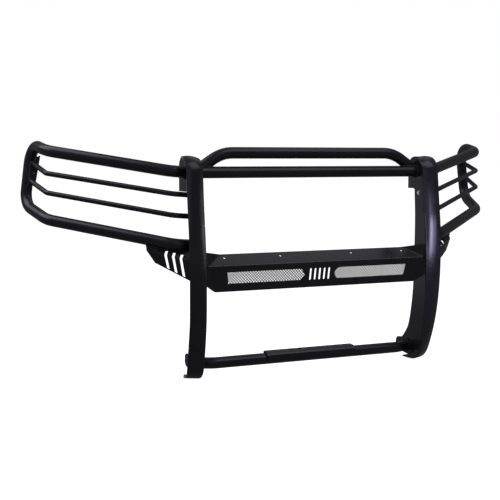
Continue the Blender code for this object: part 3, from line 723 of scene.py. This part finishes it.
def upright(side, sign):
    """Band, fold and side plate of one upright in one pressed sheet."""
    outer, fold = band_lines()
    points = []
    for row in map(band_row, outer, fold, normals_of(fold)):
        points += [side_at(sign, *point) for point in row]
    rows = len(outer)
    width = len(points) // rows
    faces = []
    for row in range(rows - 1):
        for column in range(width - 1):
            a = row * width + column
            quad = (a, a + width, a + width + 1, a + 1)
            faces.append(quad if sign < 0 else quad[::-1])
    rear = plate_rear_edge()
    plate = [row * width + width - 1 for row in range(rows)]
    plate += range(len(points), len(points) + len(rear))
    points += [side_at(sign, INNER_X, y, z) for y, z in rear]
    faces.append(plate if sign < 0 else plate[::-1])
    mesh = bpy.data.meshes.new(f"pressed_upright_{side}")
    mesh.from_pydata(points, [], faces)
    smooth(mesh)
    node = f"upright_{side}"
    obj = piece(f"pressed_{node}", mesh, PLATE_COAT, node)
    thicken(obj, UPRIGHT_SHEET)

    def holes(shape):
        turn = Matrix.Rotation(math.pi / 2, 4, "Y")
        for (y, z), radius, depth in (
            (PLATE_HOLE, PLATE_HOLE_RADIUS, PLATE_HOLE_DEPTH),
            (BOLT_YZ, BOLT_HOLE_RADIUS, 2 * UPRIGHT_SHEET),
        ):
            centre = side_at(sign, INNER_X, y, z)
            cylinder_into(shape, radius, 2 * depth, Matrix.Translation(centre) @ turn)

    cut(obj, helper(f"upright_holes_{side}", holes))
    round_edges(obj, UPRIGHT_EDGE)


def side_bolt(side, sign):
    """Flanged hex bolt on the side plate, with a dished head."""

    def head(shape):
        turn = Matrix.Rotation(-sign * math.pi / 2, 4, "Y")
        y, z = BOLT_YZ
        for radius, top, height, start, corners in BOLT_HEAD:
            centre = side_at(sign, PLATE_FACE_X - start - height / 2, y, z)
            where = Matrix.Translation(centre) @ turn
            cylinder_into(shape, radius, height, where, corners, top)

    mesh = mesh_of(f"hex_bolt_{side}", head)
    smooth(mesh)
    obj = piece(f"hex_bolt_{side}", mesh, BRIGHT_ZINC, f"side_bolt_{side}")
    round_edges(obj, FASTENER_EDGE)


# ---------------------------------------------------------------- tubes


def tube(node, path, radius=TUBE_RADIUS):
    resolution = 12 if radius == TUBE_RADIUS else 8
    data = line_curve(f"round_{node}", path, radius, resolution)
    return piece(f"round_{node}", data, TUBE_COAT, node)


def cross_tube():
    tube("cross_tube", [at(-PLATE_FACE_X, 0, 0), at(PLATE_FACE_X, 0, 0)])
    for side, sign in SIDES:
        end = side_at(sign, PLATE_FACE_X - CROSS_ALONG, 0, 0)
        weld_ring(f"weld_cross_tube_{side}", end, Vector((1, 0, 0)), TUBE_RADIUS + CROSS_OUT)


def hoop_legs(sign):
    """The corner points of one side of the hoop, from its foot to its shoulder."""
    foot_x, foot_z = HOOP_FOOT
    foot = side_at(sign, foot_x, HOOP_Y, foot_z)
    shoulder = side_at(sign, HOOP_SHOULDER_X, HOOP_Y, HOOP_RISE)
    return foot, shoulder


def hoop():
    left_foot, left_shoulder = hoop_legs(-1)
    right_foot, right_shoulder = hoop_legs(1)
    ends = []
    for foot, shoulder in ((left_foot, left_shoulder), (right_foot, right_shoulder)):
        leg = foot - shoulder
        ends.append(shoulder + leg * ((PLATE_FACE_X - HOOP_SHOULDER_X) / abs(leg.x)))
    corners = [ends[0], left_shoulder, right_shoulder, ends[1]]
    tube("top_hoop", rounded_path(corners, (HOOP_BEND, HOOP_BEND)))
    for side, sign in SIDES:
        hoop_weld(side, sign)


def hoop_weld(side, sign):
    """The bead along the line where the hoop's leg meets the cross tube below it."""
    foot, shoulder = hoop_legs(sign)
    leg = (foot - shoulder).normalized()
    across = Vector((0, 1, 0))
    beside = leg.cross(across)
    line = []
    for i in range(73):
        angle = 2 * math.pi * i / 72
        start = shoulder + TUBE_RADIUS * (across * math.cos(angle) + beside * math.sin(angle))
        local = start - CROSS_AXIS
        if abs(local.y) > 0.98 * TUBE_RADIUS:
            continue
        height = math.sqrt(TUBE_RADIUS**2 - local.y**2)
        point = start + leg * ((height - local.z) / leg.z)
        if abs(point.x) < PLATE_FACE_X:
            line.append((angle, point))
    turns = [i for i in range(1, len(line)) if line[i][0] - line[i - 1][0] > 0.2]
    if turns:
        line = line[turns[0] :] + line[: turns[0]]
    weld(f"weld_hoop_{side}", [point for _, point in line], False, HOOP_BEAD)


def lower_tube():
    y, z = LOWER_YZ
    end = PLATE_FACE_X - FOOT_PLATE_SHEET
    corners = [
        at(-end, LOWER_END_Y, z),
        at(-LOWER_BEND_X, y, z),
        at(LOWER_BEND_X, y, z),
        at(end, LOWER_END_Y, z),
    ]
    tube("lower_tube", rounded_path(corners, (LOWER_BEND, LOWER_BEND)))
    for side, sign in SIDES:
        centre = side_at(sign, end - LOWER_ALONG, LOWER_END_Y, z)
        weld_ring(f"weld_lower_tube_{side}", centre, Vector((1, 0, 0)), TUBE_RADIUS + LOWER_OUT)


def step_saddle():
    """Channel folded over the lower tube, its front corner rolled, with drain holes."""
    section = [Vector((0, y, z)) for y, z in SADDLE_SECTION]
    section = rounded_path(section, SADDLE_ROUNDING)
    count = len(section)
    points = []
    for x in (-SADDLE_HALF, SADDLE_HALF):
        points += [at(x, point.y, point.z) for point in section]
    faces = [(i, i + 1, i + 1 + count, i + count) for i in range(count - 1)]
    mesh = bpy.data.meshes.new("folded_step_saddle")
    mesh.from_pydata(points, [], faces)
    smooth(mesh)
    obj = piece("folded_step_saddle", mesh, SHEET_COAT, "step_saddle")
    thicken(obj, SADDLE_SHEET)

    def holes(shape):
        length, width = SADDLE_HOLE
        reach = (length - width) / 2
        for i in range(SADDLE_HOLES):
            x = (i - (SADDLE_HOLES - 1) / 2) * SADDLE_HOLE_PITCH
            outline = slot_outline((x - reach, 0), (x + reach, 0), width)
            centre = at(0, SADDLE_HOLE_Y, SADDLE_SECTION[1][1])
            prism_into(shape, outline, SADDLE_CUT, Matrix.Translation(centre))

    cut(obj, helper("saddle_holes", holes))
    round_edges(obj, SADDLE_EDGE)


# ---------------------------------------------------------------- lamp housing


def plane_frame(origin, along):
    """A frame on one of the housing's planes: U across, V along, W out of it."""
    up = (along - origin).normalized()
    across = Vector((1, 0, 0))
    turn = Matrix((across, up, across.cross(up))).transposed().to_4x4()
    return Matrix.Translation(origin) @ turn


CREASE_MIDDLE = at(0, *CREASE[1:])
FACE = plane_frame(CREASE_MIDDLE, 2 * CREASE_MIDDLE - at(0, *FACE_FOOT[1:]))
FLANGE = plane_frame(CREASE_MIDDLE, at(0, *FLANGE_KINK[1:]))
FLIP = Matrix.Scale(-1, 4, (1, 0, 0))


def window_outline():
    """The right window: blunt point at its inner end, slanting outer end."""
    middle = (WINDOW_TOP + WINDOW_FOOT) / 2
    corners = (
        (WINDOW_INNER_U, WINDOW_TOP),
        (WINDOW_OUTER_U[0], WINDOW_TOP),
        (WINDOW_OUTER_U[1], WINDOW_FOOT),
        (WINDOW_INNER_U, WINDOW_FOOT),
        (WINDOW_TIP_U, middle),
    )
    return rounded_outline(corners, WINDOW_CORNER)


def housing_sheet():
    """The open folded sheet: flange, face and end facets, with its folds rounded."""
    keys = (CREASE, FACE_FOOT, CHEEK_FOOT, CHEEK_TOP, FLANGE_KINK)
    crease, foot, cheek_foot, cheek_top, kink = range(5)

    def make(shape):
        right = [shape.verts.new(side_at(1, *key)) for key in keys]
        left = [shape.verts.new(side_at(-1, *key)) for key in keys]
        shape.faces.new((right[crease], left[crease], left[foot], right[foot]))
        shape.faces.new((right[crease], right[kink], left[kink], left[crease]))
        for corners in (
            (crease, foot, cheek_foot),
            (crease, cheek_foot, cheek_top),
            (crease, cheek_top, kink),
        ):
            shape.faces.new([right[i] for i in corners])
            shape.faces.new([left[i] for i in reversed(corners)])
        folds = [edge for edge in shape.edges if len(edge.link_faces) == 2]
        bmesh.ops.bevel(
            shape,
            geom=folds,
            offset=HOUSING_FOLD,
            offset_type="OFFSET",
            segments=5,
            profile=0.5,
            affect="EDGES",
            clamp_overlap=True,
        )

    return make


def lamp_housing():
    mesh = mesh_of("folded_lamp_housing", housing_sheet())
    front = [polygon for polygon in mesh.polygons if polygon.area > 0.02]
    if front[0].normal.y > 0:
        mesh.flip_normals()
    smooth(mesh)
    obj = piece("folded_lamp_housing", mesh, SHEET_COAT, "lamp_housing")
    thicken(obj, HOUSING_SHEET)

    def openings(shape):
        depth = 10 * HOUSING_SHEET
        prism_into(shape, window_outline(), depth, FACE)
        prism_into(shape, window_outline(), depth, FLIP @ FACE)
        for i in range(SLOT_COUNT):
            u = (i - (SLOT_COUNT - 1) / 2) * SLOT_PITCH
            ends = [(u, v) for v in SLOT_SPAN]
            prism_into(shape, slot_outline(*ends, SLOT_WIDTH), depth, FACE)

    def holes(shape):
        rise = FLANGE_HOLE_SHARE * (at(*FLANGE_KINK) - at(*CREASE)).yz.length
        for sign in (-1, 1):
            for x, radius in FLANGE_HOLES:
                where = FLANGE @ Matrix.Translation((sign * x, rise, 0))
                cylinder_into(shape, radius, 0.020, where)

    cut(obj, helper("housing_openings", openings))
    cut(obj, helper("housing_holes", holes))
    round_edges(obj, HOUSING_EDGE)


def mesh_panel(side, sign):
    """Expanded metal behind a window: a slanting lattice of diamonds, given thickness."""
    half = MESH_PITCH / 2
    start = WINDOW_TIP_U - MESH_MARGIN
    columns = round((MESH_OUTER_U - start) / half)
    rows = round((WINDOW_TOP - WINDOW_FOOT + 2 * MESH_MARGIN) / half)
    foot = (WINDOW_TOP + WINDOW_FOOT - rows * half) / 2

    def lattice(shape):
        corners = {}

        def corner(column, row):
            if (column, row) not in corners:
                spot = Vector((sign * (start + column * half), foot + row * half, 0))
                corners[column, row] = shape.verts.new(FACE @ spot)
            return corners[column, row]

        for row in range(1, rows):
            for column in range(1 + row % 2, columns, 2):
                around = ((1, 0), (0, 1), (-1, 0), (0, -1))
                shape.faces.new([corner(column + i, row + j) for i, j in around])

    mesh = mesh_of(f"expanded_{side}", lattice)
    node = f"mesh_panel_{side}"
    obj = piece(f"expanded_{node}", mesh, MESH_COAT, node)
    wires = obj.modifiers.new("Strands", "WIREFRAME")
    wires.thickness = MESH_STRAND
    wires.offset = 0
    wires.use_even_offset = True
    wires.use_boundary = True
    set_back = FACE.col[2].xyz * -(HOUSING_SHEET + MESH_GAP)
    for vertex in mesh.vertices:
        vertex.co += set_back


def face_screw(name, sign, u, v):
    """Button-head socket screw: domed head with a hexagon in it."""
    radius, height = SCREW_HEAD
    spot = FACE @ Matrix.Translation((sign * u, v, 0))

    def head(shape):
        profile = [Vector((radius, 0, 0.0002))]
        profile += [
            Vector((radius * math.cos(a), 0, height * (0.35 + 0.65 * math.sin(a))))
            for a in [math.pi / 2 * i / 6 for i in range(7)]
        ]
        profile[-1].x = 0
        verts = [shape.verts.new(point) for point in profile]
        edges = [shape.edges.new(pair) for pair in zip(verts, verts[1:])]
        bmesh.ops.spin(
            shape,
            geom=verts + edges,
            cent=(0, 0, 0),
            axis=(0, 0, 1),
            angle=2 * math.pi,
            steps=32,
        )
        bmesh.ops.remove_doubles(shape, verts=shape.verts, dist=1e-6)
        rim = [edge for edge in shape.edges if len(edge.link_faces) == 1]
        bmesh.ops.contextual_create(shape, geom=rim)
        bmesh.ops.transform(shape, matrix=spot, verts=shape.verts)

    def socket(shape):
        where = spot @ Matrix.Translation((0, 0, height))
        cylinder_into(shape, radius * SOCKET_SHARE, height, where, 6)

    mesh = mesh_of(f"button_{name}", head)
    smooth(mesh)
    obj = piece(f"button_{name}", mesh, BLACK_ZINC, f"face_screw_{name}")
    cut(obj, helper(f"socket_{name}", socket))


# ---------------------------------------------------------------- wings


def stub(sign, start_x, knee):
    y, z = knee
    root_z = z - (KNEE_X - start_x) * STUB_FALL
    return [side_at(sign, start_x, y, root_z), side_at(sign, KNEE_X, y, z)]


def wing_loop(side, sign):
    top_start = STIFFENER_X + STIFFENER_SHEET / 2
    foot_start = INNER_X + UPRIGHT_SHEET
    top_stub = stub(sign, top_start, TOP_KNEE)
    foot_stub = stub(sign, foot_start, FOOT_KNEE)
    corners = list(top_stub)
    corners += [side_at(sign, *c) for c in (TOP_BEND, LOOP_TOP, LOOP_FOOT, FOOT_BEND)]
    corners += reversed(foot_stub)
    half = (KNEE_RADIUS, BEND_RADIUS, LOOP_RADIUS)
    path = rounded_path(corners, half + half[::-1])
    tube(f"wing_loop_{side}", path)
    gusset_weld(side, sign, path)
    for level, (start, knee), run in (
        ("top", top_stub, weld_ring),
        ("foot", foot_stub, weld_on_side_plate),
    ):
        axis = (knee - start).normalized()
        centre = start + axis * LOOP_ALONG
        run(f"weld_loop_{level}_{side}", centre, axis, TUBE_RADIUS + LOOP_OUT)


def wing_rod(side, sign, level, knee, bend, end):
    start, knee_at = stub(sign, INNER_X + UPRIGHT_SHEET, knee)
    corners = [start, knee_at, side_at(sign, *bend), side_at(sign, *end)]
    path = rounded_path(corners, (ROD_KNEE_RADIUS, ROD_BEND_RADIUS))
    tube(f"wing_rod_{level}_{side}", path, ROD_RADIUS)
    near, far = path[:-3:-1]
    axis = (far - near).normalized()
    centre = near + axis * ROD_ALONG
    weld_ring(f"weld_rod_{level}_{side}", centre, axis, ROD_RADIUS + ROD_OUT, ROD_BEAD)


def nearest_on(path, point):
    """The point of a path that lies nearest to a given point."""
    found = []
    for start, end in zip(path, path[1:]):
        share = intersect_point_line(point, start, end)[1]
        found.append(start.lerp(end, min(1, max(0, share))))
    return min(found, key=lambda spot: (spot - point).length)


def gusset_weld(side, sign, path):
    """The bead that fills the gap between the gusset's top edge and the tube over it."""
    along = Vector((1, GUSSET_SLOPE)).normalized()
    edge = []
    for u, z, back in GUSSET_TOP:
        x = GUSSET_START[0] + u * along.x - back * along.y
        y = GUSSET_START[1] + u * along.y + back * along.x
        edge.append(side_at(sign, x, y, z))
    line = []
    for point in spline_through(edge, 4):
        axis = nearest_on(path, point)
        line.append(axis + (point - axis).normalized() * (TUBE_RADIUS + GUSSET_OUT))
    weld(f"weld_gusset_{side}", line, False, GUSSET_BEAD)


def loop_axis_x(z):
    """The X of the upright run at the loop's end, at a height."""
    share = (z - LOOP_FOOT[2]) / (LOOP_TOP[2] - LOOP_FOOT[2])
    return LOOP_FOOT[0] + (LOOP_TOP[0] - LOOP_FOOT[0]) * share


def rod_plate_welds(side, sign):
    """Beads from the rod plate's tail and its outer edge to the loop behind."""
    points = [
        side_at(sign, loop_axis_x(z) + reach, ROD_PLATE_Y + ROD_PLATE_ALONG, z)
        for reach, z, _ in ROD_PLATE_EDGES
    ]
    weld(f"weld_rod_plate_tail_{side}", points[:2], False, ROD_PLATE_EDGES[0][2])
    weld(f"weld_rod_plate_{side}", points[2:], False, ROD_PLATE_EDGES[2][2])


# ---------------------------------------------------------------- CAD plates


def dress(node, material, width):
    """A CAD solid whose shape is right: seams welded, edges rounded, coat on."""
    obj = frame["nodes"][node]
    if not obj.material_slots:
        obj.data.materials.append(material)
    for place in obj.material_slots:
        place.link = "OBJECT"
        place.material = material
    merge = obj.modifiers.new("Seams", "WELD")
    merge.merge_threshold = 1e-5
    round_edges(obj, width)


def cad_plates():
    for side, _ in SIDES:
        for plate in ("stiffener", "foot_plate", "mount_bracket", "gusset", "rod_plate"):
            dress(f"{plate}_{side}", PLATE_COAT, PLATE_EDGE)
        dress(f"side_bolt_nut_{side}", BLACK_ZINC, FASTENER_EDGE)
        for level in ("upper", "lower"):
            dress(f"face_screw_nut_{level}_{side}", BLACK_ZINC, FASTENER_EDGE)


# ---------------------------------------------------------------- stage, light and camera


def floor():
    bpy.ops.mesh.primitive_plane_add(size=60, location=(0, 0, CAD_BOX[0].z - 0.0005))
    obj = bpy.context.object
    obj.name = "floor"
    obj.data.materials.append(floor_paint())
    obj.visible_glossy = False
    obj.visible_diffuse = False


def softbox(name, centre, aim, size, radiance, only=None, colour=LAMP_COLOUR):
    """A rectangular lamp of the given radiance, unseen by the camera.

    Where only is given, the lamp lights that one piece.
    """
    data = bpy.data.lights.new(name, "AREA")
    data.shape = "RECTANGLE"
    data.size, data.size_y = size
    data.energy = radiance * math.pi * data.size * data.size_y
    data.color = colour
    obj = bpy.data.objects.new(name, data)
    bpy.context.scene.collection.objects.link(obj)
    obj.location = at(*centre)
    obj.rotation_euler = (at(*aim) - obj.location).to_track_quat("-Z", "Y").to_euler()
    obj.visible_camera = False
    if only is not None:
        lit = bpy.data.collections.new(f"lit_by_{name}")
        lit.objects.link(only)
        obj.light_linking.receiver_collection = lit


def lights():
    middle = (0, 0, -0.25)
    softbox("overhead", (1.1, -1.7, 2.6), middle, (2.2, 2.4), 1.30)
    softbox("behind_above", (1.5, 1.5, 2.9), middle, (2.4, 1.6), 0.45)
    softbox("beside_plate", (-0.30, 1.2, -0.30), (INNER_X, 0, -0.30), (0.70, 0.70), 0.22)
    softbox("rim_left", (-1.9, 0.5, 1.55), (-0.80, 0.1, -0.05), (2.0, 2.0), 2.2)
    softbox("front_fill", (-0.6, -3.4, 1.0), middle, (1.6, 1.6), 0.3)


def accent_lights():
    """Lamps that each light one piece, for the bright lines along its edges and bends."""
    pieces = bpy.data.objects
    right_band = (0.43, -0.08, -0.24)
    upright_right = pieces["pressed_upright_right"]
    bright, soft = (0.475, -0.579, -0.175), (0.585, -0.660, -0.18)
    softbox("band_bright", bright, right_band, (0.105, 0.22), 13.5, upright_right, STRIP_COLOUR)
    softbox("band_soft", soft, right_band, (0.32, 0.24), 4.3, upright_right, STRIP_COLOUR)
    left_band = (-0.43, -0.08, -0.20)
    upright_left = pieces["pressed_upright_left"]
    softbox("edge_left", (0.70, -0.55, -0.20), left_band, (0.3, 0.4), 3.0, upright_left)
    arch = (-ARCH_OUTER_X, 0, 0.04)
    softbox("arch_rim", (-1.00, 1.50, 0.30), arch, (0.8, 0.8), 2.6, upright_left)
    fold = (INNER_X, -0.07, -0.15)
    softbox("fold_line", (-1.26, -1.16, -0.22), fold, (0.4, 1.0), 2.4, upright_right)
    crease = (0, *CREASE[1:])
    housing = pieces["folded_lamp_housing"]
    softbox("crease_line", (1.10, -1.75, 1.15), crease, (1.0, 0.7), 2.4, housing)
    saddle = pieces["folded_step_saddle"]
    softbox("saddle_top", (0.75, 1.6, -0.38), (0, 0.01, -0.60), (1.4, 0.35), 0.45, saddle)
    bolt = pieces["hex_bolt_right"]
    softbox("bolt_glint", (-0.40, 1.24, -0.13), (INNER_X, *BOLT_YZ), (0.4, 0.4), 0.8, bolt)


def backdrop():
    """White for the camera, and a dim even room for everything that reflects it."""
    world = bpy.data.worlds.new("studio")
    bpy.context.scene.world = world
    world.use_nodes = True
    nodes = world.node_tree.nodes
    links = world.node_tree.links
    room = nodes["Background"]
    room.inputs["Color"].default_value = ROOM_COLOUR
    room.inputs["Strength"].default_value = ROOM_STRENGTH
    white = nodes.new("ShaderNodeBackground")
    white.inputs["Strength"].default_value = 1.0
    white.inputs["Color"].default_value = (1, 1, 1, 1)
    path = nodes.new("ShaderNodeLightPath")
    mix = nodes.new("ShaderNodeMixShader")
    links.new(path.outputs["Is Camera Ray"], mix.inputs[0])
    links.new(room.outputs[0], mix.inputs[1])
    links.new(white.outputs[0], mix.inputs[2])
    links.new(mix.outputs[0], nodes["World Output"].inputs["Surface"])


def camera():
    data = bpy.data.cameras.new("camera")
    data.sensor_width = CAMERA_SENSOR
    data.lens = CAMERA_LENS
    obj = bpy.data.objects.new("camera", data)
    bpy.context.scene.collection.objects.link(obj)
    obj.location = at(*CAMERA_AT)
    obj.rotation_euler = (CAMERA_TILT, 0, CAMERA_TURN)
    bpy.context.scene.camera = obj
    bpy.context.scene.view_settings.view_transform = "Standard"


def guard():
    cross_tube()
    hoop()
    lower_tube()
    step_saddle()
    lamp_housing()
    cad_plates()
    for side, sign in SIDES:
        upright(side, sign)
        side_bolt(side, sign)
        mesh_panel(side, sign)
        for level, (u, v) in zip(("upper", "lower"), SCREW_UV):
            face_screw(f"{level}_{side}", sign, u, v)
        wing_loop(side, sign)
        rod_plate_welds(side, sign)
        for level, knee, bend, end in RODS:
            wing_rod(side, sign, level, knee, bend, end)


guard()
floor()
lights()
accent_lights()
backdrop()
camera()
